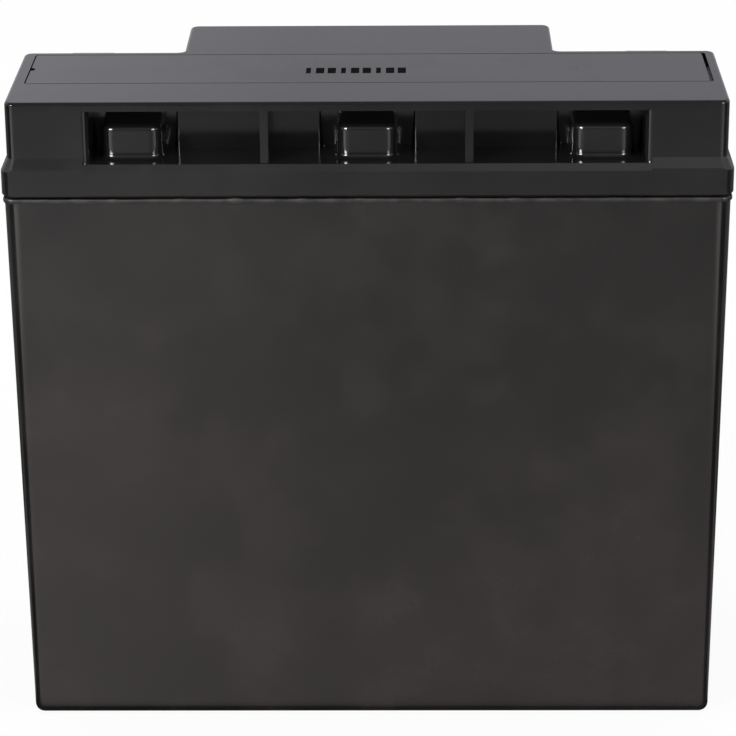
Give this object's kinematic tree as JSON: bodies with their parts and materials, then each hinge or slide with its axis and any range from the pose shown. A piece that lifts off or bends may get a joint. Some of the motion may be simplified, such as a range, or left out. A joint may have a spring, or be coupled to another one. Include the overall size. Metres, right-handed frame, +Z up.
{
  "type": "sealed lead-acid battery",
  "caption": "Sealed lead-acid battery block for standby power: moulded case and lid, flush vent cover strip, valves, plates, separators and bolt-on flag terminals.",
  "frame": {"origin": "centre of the base, at the lowest point", "axes": "+X along the length, towards the positive terminal; +Y along the width, towards the terminal side; +Z up"},
  "size_m": [0.181, 0.0768, 0.167],
  "materials": {
    "container": "black moulded ABS, glossy with faint haze",
    "lid": "black moulded ABS, glossy",
    "vent_cover": "black moulded ABS, glossy",
    "valve_rubber": "black rubber",
    "red_resin": "red epoxy resin",
    "black_resin": "black epoxy resin",
    "terminal_metal": "tin plated, satin",
    "glass_mat": "white glass mat",
    "positive_paste": "brown lead dioxide paste on a lead grid",
    "negative_paste": "grey sponge lead on a lead grid",
    "lead": "dull cast lead"
  },
  "bodies": {
    "root": {"cell_link_1": "lead", "cell_link_2": "lead", "cell_link_3": "lead", "cell_link_4": "lead", "cell_link_5": "lead", "container": "container", "lid": "lid", "negative_plates_1": "negative_paste", "negative_plates_2": "negative_paste", "negative_plates_3": "negative_paste", "negative_plates_4": "negative_paste", "negative_plates_5": "negative_paste", "negative_plates_6": "negative_paste", "positive_plates_1": "positive_paste", "positive_plates_2": "positive_paste", "positive_plates_3": "positive_paste", "positive_plates_4": "positive_paste", "positive_plates_5": "positive_paste", "positive_plates_6": "positive_paste", "separators_1": "glass_mat", "separators_2": "glass_mat", "separators_3": "glass_mat", "separators_4": "glass_mat", "separators_5": "glass_mat", "separators_6": "glass_mat", "terminal_negative": "terminal_metal", "terminal_positive": "terminal_metal", "terminal_seal_negative": "black_resin", "terminal_seal_positive": "red_resin", "vent_cover_strip": "vent_cover", "vent_valve_1": "valve_rubber", "vent_valve_2": "valve_rubber", "vent_valve_3": "valve_rubber", "vent_valve_4": "valve_rubber", "vent_valve_5": "valve_rubber", "vent_valve_6": "valve_rubber"}
  },
  "joints": []
}
